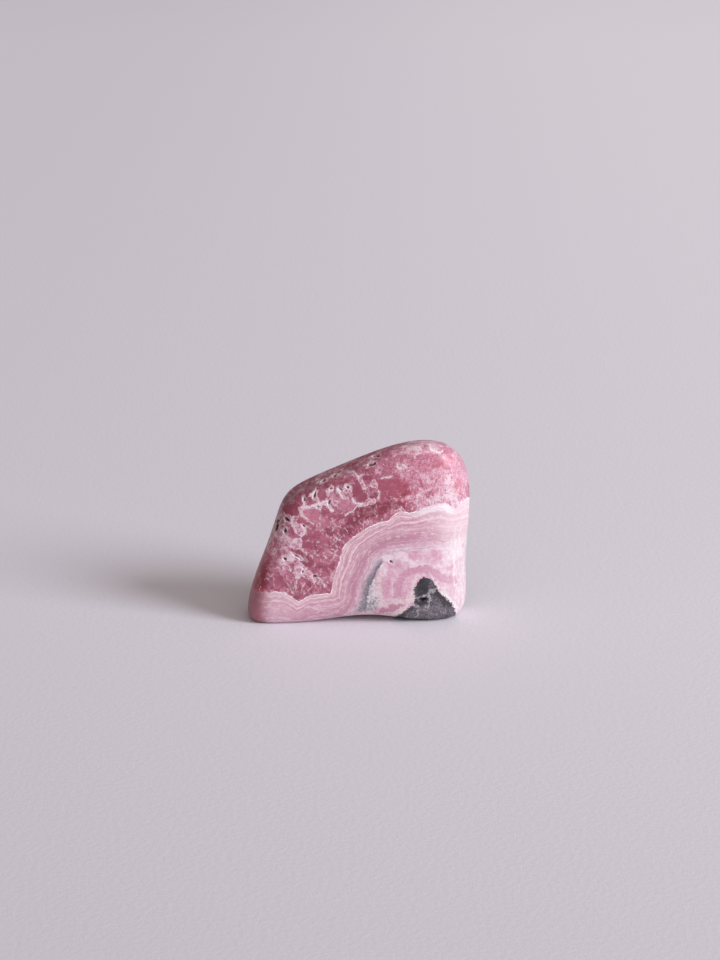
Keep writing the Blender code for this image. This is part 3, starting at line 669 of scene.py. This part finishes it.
# Linear shades, and factors that tilt a colour
tints = {
    # painted shade for the left end of the bands
    "leftEndShade": (0.377, 0.117, 0.162, 1),
    "warmer": (1.08, 0.88, 0.84, 1),
    # tilts the left end darker and redder, painted shade
    "shadedLeftTilt": (1.12, 0.68, 0.76, 1),
    "cooler": (0.93, 1.02, 0.94, 1),
    "seam": (0.08, 0.078, 0.098, 1),
    "pepper": (0.07, 0.065, 0.075, 1),
    "darkRust": (0.05, 0.022, 0.014, 1),
    "darkDirtShade": (0.004, 0.003, 0.004, 1),
}


def toLinear(colour):
    share = np.array(colour) / 255
    return (*np.where(share < 0.04045, share / 12.92, ((share + 0.055) / 1.055) ** 2.4), 1.0)


def stoneMaterial():
    material = bpy.data.materials.new("banded_rhodochrosite")
    material.use_nodes = True
    tree = material.node_tree
    nodes, links = tree.nodes, tree.links
    nodes.clear()

    def put(value, socket):
        if isinstance(value, bpy.types.NodeSocket):
            links.new(value, socket)
        elif value is not None:
            socket.default_value = value

    def calc(operation, a, b=None, clamp=False):
        node = nodes.new("ShaderNodeMath")
        node.operation = operation
        node.use_clamp = clamp
        put(a, node.inputs[0])
        put(b, node.inputs[1])
        return node.outputs[0]

    def total(*values):
        result = values[0]
        for value in values[1:]:
            result = calc("ADD", result, value)
        return result

    def times(*values):
        result = values[0]
        for value in values[1:]:
            result = calc("MULTIPLY", result, value)
        return result

    def less(a, b):
        return calc("SUBTRACT", a, b)

    def without(share):  # what a share leaves over
        return less(1.0, share)

    def step(value, low, high):  # 0 at low, 1 at high, eased between
        node = nodes.new("ShaderNodeMapRange")
        node.interpolation_type = "SMOOTHSTEP"
        put(value, node.inputs["Value"])
        put(min(low, high), node.inputs["From Min"])
        put(max(low, high), node.inputs["From Max"])
        put(0.0 if low < high else 1.0, node.inputs["To Min"])
        put(1.0 if low < high else 0.0, node.inputs["To Max"])
        return node.outputs["Result"]

    def paint(colour):  # a dye, a tint, or a colour from other nodes
        if not isinstance(colour, str):
            return colour
        return tints[colour] if colour in tints else toLinear(dyes[colour])

    def mix(share, a, b, mode="MIX"):
        node = nodes.new("ShaderNodeMix")
        node.data_type = "RGBA"
        node.blend_type = mode
        put(share, node.inputs[0])
        put(paint(a), node.inputs[6])
        put(paint(b), node.inputs[7])
        return node.outputs[2]

    def ramp(value, stops):
        node = nodes.new("ShaderNodeValToRGB")
        put(value, node.inputs[0])
        elements = node.color_ramp.elements
        while len(elements) < len(stops):
            elements.new(0.5)
        for element, (place, colour) in zip(elements, stops):
            element.position = place
            element.color = toLinear(dyes[colour] if isinstance(colour, str) else colour)
        return node.outputs[0]

    def field(name):
        node = nodes.new("ShaderNodeAttribute")
        node.attribute_name = name
        return node.outputs["Fac"]

    def vector(x, y, z):
        node = nodes.new("ShaderNodeCombineXYZ")
        for value, socket in zip((x, y, z), node.inputs):
            put(value, socket)
        return node.outputs[0]

    def grain(where, perUnit, detail=3.0, roughness=0.55):  # -0.5 to 0.5
        node = nodes.new("ShaderNodeTexNoise")
        put(where, node.inputs["Vector"])
        put(perUnit, node.inputs["Scale"])
        put(detail, node.inputs["Detail"])
        put(roughness, node.inputs["Roughness"])
        return less(node.outputs[0], 0.5)

    def cells(where, perUnit, feature="F1"):
        node = nodes.new("ShaderNodeTexVoronoi")
        node.feature = feature
        put(where, node.inputs["Vector"])
        put(perUnit, node.inputs["Scale"])
        return node.outputs

    def cellShades(where, perUnit):  # one value for each cell, -0.5 to 0.5
        return less(cells(where, perUnit)["Color"], 0.5)

    def cellEdges(where, perUnit):
        return cells(where, perUnit, "DISTANCE_TO_EDGE")["Distance"]

    def channels(colour):
        node = nodes.new("ShaderNodeSeparateColor")
        put(colour, node.inputs[0])
        return node.outputs

    def moved(where, perUnit, amount):  # the place, shifted unevenly
        node = nodes.new("ShaderNodeTexNoise")
        put(where, node.inputs["Vector"])
        put(perUnit, node.inputs["Scale"])
        shift = nodes.new("ShaderNodeVectorMath")
        shift.operation = "MULTIPLY_ADD"
        put(node.outputs["Color"], shift.inputs[0])
        put((amount, amount, amount), shift.inputs[1])
        put(where, shift.inputs[2])
        return shift.outputs[0]

    coordinates = nodes.new("ShaderNodeTexCoord")
    toMillimetres = nodes.new("ShaderNodeMapping")
    toMillimetres.inputs["Scale"].default_value = (1 / mm, 1 / mm, 1 / mm)
    links.new(coordinates.outputs["Object"], toMillimetres.inputs["Vector"])
    here = toMillimetres.outputs[0]
    split = nodes.new("ShaderNodeSeparateXYZ")
    links.new(here, split.inputs[0])
    x, y, z = split.outputs
    behind = step(y, *slab["drawnTo"])
    paleEnd = step(x, 12.5, 20.5)
    coarse = grain(here, 0.32, 4.0, 0.6)
    middling = grain(here, 1.0, 4.0, 0.6)
    fine = grain(here, 2.6, 4.0, 0.7)
    dust = grain(here, 5.5, 2.0, 0.6)
    bent = moved(here, 0.7, 1.8)
    plate = cellShades(bent, 0.42)
    shard = cellShades(bent, 1.1)

    # the bands
    waver = times(grain(here, 1.1, 4.0), 0.8)
    into = total(field("intoBands"), waver)
    layer = total(field("layer"), times(waver, 0.2))
    along = field("alongGrowth")
    thread = grain(vector(times(along, 0.3), times(layer, 26.0), times(y, 0.05)), 1.0, 3.0)
    banded = ramp(layer, bandRamp)
    mauves = mix(times(step(x, -2.0, -9.0), 0.85), ramp(less(layer, 1.0), mauveRamp), "plainPink")
    banded = mix(step(layer, 0.97, 1.03), banded, mauves)
    faded = step(total(times(coarse, 2.0), middling, times(fine, 0.6)), -0.02, 0.16)
    faded = times(step(layer, 0.075, 0.04), faded)
    banded = mix(times(faded, 0.75), banded, "roseLight")
    contrast = total(1.2, times(paleEnd, -0.5), times(step(x, -4.0, -10.0), 0.35))
    shade = total(times(thread, contrast), times(fine, 0.55), times(middling, 0.6), times(shard, 0.06))
    shade = times(shade, total(0.35, times(step(layer, 0.06, 0.16), 0.65)))
    banded = mix(times(step(shade, 0.0, 0.26), 0.75), banded, "threadPale")
    banded = mix(times(step(shade, 0.0, -0.26), 0.65), banded, "threadDeep")
    banded = mix(times(step(x, -13.0, -16.0), 0.16), banded, "threadPale")
    # painted shade: at the left end of the foot, which turns away from the lamp, the bands go over into one
    # even deep pink
    leftEndShade = step(total(x, times(middling, 2.0)), -18.2, -22.0)
    banded = mix(times(leftEndShade, 0.95), banded, "leftEndShade")
    banded = mix(times(paleEnd, total(0.6, times(thread, 0.8), times(middling, 0.5))), banded, "paleEnd")
    milky = times(step(x, 10.0, 14.5), step(x, 21.5, 18.5))
    milky = times(milky, times(step(layer, 0.02, 0.1), step(layer, 0.42, 0.2)))
    milky = times(milky, total(0.7, times(step(x, 14.5, 17.0), 0.18), times(thread, 2.4)))
    banded = mix(milky, banded, "spar")

    # the rose part outside them, from pale and deep areas down to single specks
    rag = total(times(fine, 1.5), times(middling, 0.9), times(shard, 0.3))
    streaks = grain(vector(times(along, 2.4), times(into, 0.45), times(y, 0.5)), 1.0, 3.0)
    streaks = times(streaks, times(step(into, -5.0, -2.0), 0.9))
    drawn = field("tone")
    drawn = total(drawn, times(calc("ABSOLUTE", drawn), rag))
    crisp = total(drawn, times(rag, 0.35))
    crisp = less(step(crisp, 0.3, 0.52), step(crisp, -0.3, -0.52))
    pale = field("platePale")
    hold = step(total(field("plateHold"), times(rag, 0.45)), 0.38, 0.66)
    sugar = times(step(x, 1.5, 6.0), step(z, 26.5, 29.0))  # the finer grained end
    chunks = total(times(coarse, 0.16), times(middling, 0.2), times(plate, 0.18), times(shard, 0.1))
    rustle = total(times(coarse, 0.1), times(behind, times(coarse, 0.9)), times(middling, 0.14),
                   times(fine, 0.5), streaks)
    rustle = total(rustle, times(dust, total(0.4, times(sugar, 0.35))))
    rustle = total(rustle, times(chunks, without(times(sugar, 0.8))))
    turning = times(step(y, -4.6, -2.2), step(y, 4.0, 1.5), step(x, 10.0, 18.0))
    level = total(0.44, times(drawn, 0.2), times(crisp, 0.1), times(turning, 0.17))
    level = total(times(level, without(hold)), times(pale, hold))
    calm = times(hold, step(pale, 0.72, 0.55))
    facets = total(-0.02, times(shard, 0.4), times(middling, 0.7), times(fine, 0.5), times(dust, 0.6))
    facets = times(facets, less(hold, calm))
    level = total(level, facets, times(rustle, without(times(calm, 0.5))))
    rose = ramp(level, roseRamp)
    busy = times(without(times(hold, 0.8)), without(times(step(drawn, -0.15, -0.55), 0.7)))
    rose = mix(times(field("warm"), 0.7), rose, mix(1.0, rose, "warmer", "MULTIPLY"))
    # painted shade: the rose part darker and redder at the left end, which turns away from the lamp
    rose = mix(times(step(x, -19.0, -21.5), 0.95), rose, mix(1.0, rose, "shadedLeftTilt", "MULTIPLY"))
    # painted shade and painted reflection along the upper-left ridge and the left flank
    shadeAndSheen = step(total(field("shadeAndSheen"), times(rag, 0.8)), 0.15, 0.9)
    rose = mix(times(shadeAndSheen, total(0.5, times(middling, 1.2))), rose, "shadeAndSheen")
    rim = times(step(field("plateHold"), 0.05, 0.4), step(field("plateHold"), 0.95, 0.55))
    rim = times(rim, step(pale, 0.6, 0.72), total(0.45, times(fine, 2.5)))
    rose = mix(rim, rose, "vein")
    crowd = total(coarse, times(middling, 0.9), times(into, -0.006))
    network = times(step(cellEdges(bent, 0.42), 0.085, 0.015), step(crowd, -0.05, 0.14))
    small = times(step(cellEdges(bent, 1.1), 0.1, 0.02), times(step(crowd, 0.05, 0.25), 0.6))
    network = times(calc("MAXIMUM", network, small), without(times(sugar, 0.75)))
    rose = mix(times(network, busy, total(0.5, times(fine, 1.5), times(behind, -0.12))), rose, "vein")
    wobble = times(grain(here, 3.5, 3.0), 4.0)
    near = calc("ABSOLUTE", total(field("veinAcross"), wobble))
    vein = times(step(near, 1.1, 0.1), total(0.85, times(fine, 3.0)))
    vein = total(vein, times(step(near, 3.5, 0.8), total(0.22, times(fine, 1.2))))
    veined = calc("MULTIPLY", vein, field("veinForce"), clamp=True)
    rose = mix(veined, rose, "vein")

    nearLine = times(step(into, -6.5, -2.5), step(into, 0.0, -0.6))
    sparkle = field("sparkle")
    grit = cells(vector(total(times(along, 1.9), times(x, 0.5), times(middling, 4.0)),
                        total(times(into, 1.1), times(z, 0.4), times(fine, 3.0)), times(y, 1.3)), 1.0)
    gritPick = total(channels(grit["Color"])[0], times(coarse, 0.6), times(middling, 0.5),
                     times(nearLine, 0.06), times(sparkle, 0.3))
    gritDots = times(step(grit["Distance"], 0.36, 0.12), step(gritPick, 0.8, 0.88))
    rose = mix(times(gritDots, times(nearLine, total(0.85, times(fine, 2.0)))), rose, "spar")
    glint = cells(vector(total(times(along, 3.0), times(x, 0.9), times(middling, 6.0)),
                         total(times(into, 2.0), times(z, 0.7), times(fine, 6.0)), times(y, 1.6)), 1.0)
    glintPick = total(channels(glint["Color"])[0], times(sparkle, 0.45), times(middling, 1.2),
                      times(sugar, 0.12))
    rose = mix(times(step(glint["Distance"], 0.4, 0.15), step(glintPick, 1.02, 1.12)), rose, "spar")
    specks = cells(here, 1.7)
    speckPick = total(channels(specks["Color"])[0], times(coarse, 0.9), times(middling, 0.4))
    speckDots = times(step(specks["Distance"], 0.3, 0.12), step(speckPick, 0.78, 0.88))
    rose = mix(times(speckDots, busy, 0.7), rose, "vein")
    tilted = total(z, times(x, 0.12))
    wisps = grain(vector(times(x, 0.3), times(y, 1.2), times(tilted, 1.4)), 1.0, 4.0, 0.6)
    wisps = step(total(wisps, times(step(z, 38.6, 39.6), 0.05)), -0.03, 0.13)
    wisps = times(wisps, times(step(z, 37.2, 39.1), step(x, 4.0, 9.0)))
    rose = mix(times(wisps, total(0.5, times(fine, 1.5))), rose, "vein")
    body = mix(step(into, -0.1, 0.02), rose, banded)

    # inside the inner line
    core = total(field("intoCore"), waver)
    mosaic = cellShades(bent, 0.6)
    seams = step(cellEdges(bent, 0.6), 0.2, 0.0)
    milk = total(0.45, times(field("blush"), -0.24), times(middling, 0.55), times(fine, 0.6),
                 times(mosaic, 0.17), times(dust, 0.4), times(paleEnd, 0.12),
                 times(seams, total(0.1, times(middling, 0.8))))
    body = mix(step(core, -0.05, 0.25), body, ramp(milk, coreRamp))
    patchy = total(times(middling, 1.4), times(fine, 1.3), times(shard, 0.2))
    arc = step(total(field("arc"), patchy), 0.25, 0.8)
    body = mix(times(arc, total(0.55, times(fine, 2.2), times(middling, 1.2))), body, "mauve")
    dusty = step(total(field("rosePatch"), patchy), 0.2, 0.8)
    body = mix(times(dusty, 0.85), body, "rosePatch")
    creamy = step(total(field("creamy"), patchy), 0.25, 0.85)
    body = mix(times(creamy, total(0.78, times(fine, 2.0))), body, "cream")

    # the grey strip along it
    strip = total(field("stripEdge"), times(middling, 1.6), times(fine, 1.6),
                  times(step(core, 0.8, 1.6), -0.25))
    upper = step(z, 4.6, 7.4)
    grainy = cells(here, 2.6)
    grainyPick = channels(grainy["Color"])
    lights = total(0.38, times(middling, 0.8), times(fine, 1.2), times(less(grainyPick[0], 0.5), 0.34))
    lights = total(lights, times(step(core, 1.2, 2.0), total(0.16, times(upper, 0.3))))
    greys = ramp(lights, greyRamp)
    inStrip = total(core, times(middling, 1.4), times(fine, 0.8))
    fromSeam = less(inStrip, total(1.25, times(step(z, 8.5, 4.0), 0.55)))
    slatey = times(step(inStrip, 0.2, 0.8), step(fromSeam, 0.35, -0.15))
    greys = mix(times(slatey, total(0.42, times(fine, 2.2), times(dust, 2.0))), greys, "slate")
    seam = step(calc("ABSOLUTE", fromSeam), 0.34, 0.06)
    seam = times(seam, total(0.62, times(fine, 3.0), times(middling, 1.0), times(step(z, 10.5, 12.5), 0.25)))
    greys = mix(seam, greys, "seam")
    softLeft = total(0.35, times(step(core, 0.1, 0.9), 0.57))
    body = mix(times(step(strip, -0.4, 0.25), softLeft), body, greys)
    pepper = times(step(grainy["Distance"], 0.44, 0.26),
                   step(total(grainyPick[1], times(upper, -0.22)), 0.5, 0.58))
    pepper = times(pepper, times(step(strip, -0.8, 0.1), step(core, 0.9, 1.4)))
    body = mix(times(pepper, 0.65), body, "pepper")
    cooled = mix(1.0, body, "cooler", "MULTIPLY")
    body = mix(times(step(x, 16.0, 21.5), total(0.35, times(step(z, 22.0, 16.0), 0.65))), body, cooled)

    # the dark corner, with pale grains round it
    teeth = less(cells(bent, 2.0)["Distance"], 0.4)
    matrix = total(field("matrixEdge"), times(fine, 1.6), times(middling, 0.9), times(teeth, 0.45))
    inMatrix = step(matrix, -0.05, 0.05)
    darkness = total(0.45, times(field("shadeInMatrix"), 0.32), times(fine, 0.7), times(middling, 0.3),
                     times(cellShades(here, 4.5), 0.32))
    body = mix(times(veined, times(paleEnd, 0.8)), body, "spar")
    fringe = times(step(matrix, -0.5, -0.1), step(x, 14.0, 16.5))
    body = mix(times(fringe, total(0.65, times(fine, 2.5))), body, "spar")
    stain = step(total(field("stain"), patchy), 0.25, 0.85)
    body = mix(times(stain, 0.45), mix(inMatrix, body, ramp(darkness, matrixRamp)),
               mix(inMatrix, "rust", "darkRust"))

    # the pits: dirt and painted shade inside, with a pale rim that is partly a painted highlight
    hole = field("pitDirtShade")
    # pale rim round each pit: a pale crust, and partly a painted highlight on the lip
    paleRimHighlight = times(step(hole, 0.05, 0.4), total(0.35, times(fine, 1.5)), without(inMatrix))
    body = mix(paleRimHighlight, body, "vein")
    pit = step(total(hole, times(fine, 0.4)), 0.5, 0.72)
    body = mix(times(pit, 0.95), body, mix(inMatrix, "dirtShade", "darkDirtShade"))

    shader = nodes.new("ShaderNodeBsdfPrincipled")
    put(body, shader.inputs["Base Color"])
    rough = total(slab["rough"], times(fine, 0.2), times(inMatrix, 0.2), times(pit, 0.3))
    put(rough, shader.inputs["Roughness"])
    shader.inputs["IOR"].default_value = slab["ior"]
    shader.inputs["Subsurface Weight"].default_value = slab["glow"]
    shader.inputs["Subsurface Radius"].default_value = slab["glowReach"]
    shader.inputs["Subsurface Scale"].default_value = slab["glowScale"] * mm
    bump = nodes.new("ShaderNodeBump")
    bump.inputs["Strength"].default_value = slab["bump"]
    bump.inputs["Distance"].default_value = slab["bumpHeight"] * mm
    put(total(fine, times(grain(here, 5.0, 4.0), inMatrix, 3.0)), bump.inputs["Height"])
    put(bump.outputs[0], shader.inputs["Normal"])
    output = nodes.new("ShaderNodeOutputMaterial")
    put(shader.outputs[0], output.inputs[0])
    return material


piece = startSlab()
print("body:", len(piece.data.vertices), "points")
refineFront(piece)
pitPlaces = findPits(piece)
refineAround(piece, pitPlaces)
matrixEdge = layPattern(piece)
sinkMatrix(piece, matrixEdge)
addField(piece, "pitDirtShade", carvePits(piece, pitPlaces))
activate(piece)
bpy.ops.object.shade_smooth()
piece.data.materials.append(stoneMaterial())
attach(piece, "root")
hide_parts(slab["node"])
print("stone done:", len(piece.data.polygons), "faces")

# Floor, light and camera
studio = {
    # painted light on the floor: darker to the left, brighter to the right
    "floorLeftShaded": (0.665, 0.625, 0.678),
    "floorRightLit": (0.750, 0.708, 0.750),
    "floorTurn": 0.16,  # half the width over which left turns into right
    "floorPaintedFalloff": [(-0.14, 0.0, 0.92, 1.0), (0.1, 0.9, 1.0, 1.09)],  # painted falloff of light, darker near and brighter far: y from and to, and the shares there
    "skyColour": (1.0, 0.88, 0.80),
    "skyStrength": 0.22,
    "keyFrom": (0.80, -0.36, 0.41),  # towards the lamp
    "keyDistance": 6.0,
    "keySize": 2.7,
    "keyPower": 400.0,
    "keyColour": (0.876, 0.921, 1.0),
    "fillFrom": (0.25, -0.50, 0.80),
    "fillSpread": 90,  # degrees
    "fillStrength": 0.95,
    "fillColour": (1.0, 0.96, 0.98),
    "lens": 85.0,
    "cameraAt": (0.0, -0.46045, 0.18709),
    "aimAt": (0.00027, 0.00377, 0.02986),
}


def floorMaterial():
    material = bpy.data.materials.new("paper")
    material.use_nodes = True
    nodes, links = material.node_tree.nodes, material.node_tree.links
    shader = nodes["Principled BSDF"]
    shader.inputs["Roughness"].default_value = 0.75
    tooth = nodes.new("ShaderNodeTexNoise")
    tooth.inputs["Scale"].default_value = 900
    tooth.inputs["Detail"].default_value = 4
    coordinates = nodes.new("ShaderNodeTexCoord")
    links.new(coordinates.outputs["Object"], tooth.inputs["Vector"])
    split = nodes.new("ShaderNodeSeparateXYZ")
    links.new(coordinates.outputs["Object"], split.inputs[0])
    across = nodes.new("ShaderNodeMapRange")
    across.interpolation_type = "SMOOTHSTEP"
    across.inputs["From Min"].default_value = -studio["floorTurn"]
    across.inputs["From Max"].default_value = studio["floorTurn"]
    links.new(split.outputs[0], across.inputs["Value"])
    # painted light: the floor darker to the left, brighter to the right
    paintedLightAcross = nodes.new("ShaderNodeMix")
    paintedLightAcross.data_type = "RGBA"
    links.new(across.outputs[0], paintedLightAcross.inputs[0])
    paintedLightAcross.inputs[6].default_value = (*studio["floorLeftShaded"], 1)
    paintedLightAcross.inputs[7].default_value = (*studio["floorRightLit"], 1)
    colour = paintedLightAcross.outputs[2]
    # painted light: darker near the camera, brighter far back
    for limits in studio["floorPaintedFalloff"]:
        fade = nodes.new("ShaderNodeMapRange")
        for place, value in enumerate(limits, 1):
            fade.inputs[place].default_value = value
        links.new(split.outputs[1], fade.inputs["Value"])
        scaled = nodes.new("ShaderNodeVectorMath")
        scaled.operation = "SCALE"
        links.new(colour, scaled.inputs[0])
        links.new(fade.outputs[0], scaled.inputs["Scale"])
        colour = scaled.outputs[0]
    links.new(colour, shader.inputs["Base Color"])
    bump = nodes.new("ShaderNodeBump")
    bump.inputs["Strength"].default_value = 0.3
    bump.inputs["Distance"].default_value = 0.2 * mm
    links.new(tooth.outputs[0], bump.inputs["Height"])
    links.new(bump.outputs[0], shader.inputs["Normal"])
    return material


def makeStudio():
    bpy.ops.mesh.primitive_plane_add(size=12, location=(0, 0, 0))
    floor = bpy.context.active_object
    floor.name = "floor"
    floor.data.materials.append(floorMaterial())
    world = bpy.data.worlds.new("studio")
    world.use_nodes = True
    sky = world.node_tree.nodes["Background"]
    sky.inputs["Color"].default_value = (*studio["skyColour"], 1)
    sky.inputs["Strength"].default_value = studio["skyStrength"]
    bpy.context.scene.world = world
    toLamp = Vector(studio["keyFrom"]).normalized()
    bpy.ops.object.light_add(type="AREA", location=toLamp * studio["keyDistance"],
                             rotation=toLamp.to_track_quat("Z", "Y").to_euler())
    lamp = bpy.context.active_object
    lamp.data.shape = "DISK"
    lamp.data.size = studio["keySize"]
    lamp.data.energy = studio["keyPower"]
    lamp.data.color = studio["keyColour"]
    toFill = Vector(studio["fillFrom"]).normalized()
    bpy.ops.object.light_add(type="SUN", location=toFill,
                             rotation=toFill.to_track_quat("Z", "Y").to_euler())
    fill = bpy.context.active_object
    fill.data.angle = math.radians(studio["fillSpread"])
    fill.data.energy = studio["fillStrength"]
    fill.data.color = studio["fillColour"]
    spot, aim = Vector(studio["cameraAt"]), Vector(studio["aimAt"])
    bpy.ops.object.camera_add(location=spot, rotation=(aim - spot).to_track_quat("-Z", "Y").to_euler())
    camera = bpy.context.active_object
    camera.data.lens = studio["lens"]
    camera.data.clip_start = 0.01
    bpy.context.scene.camera = camera
    bpy.context.scene.view_settings.view_transform = "Standard"


makeStudio()
print("studio done")
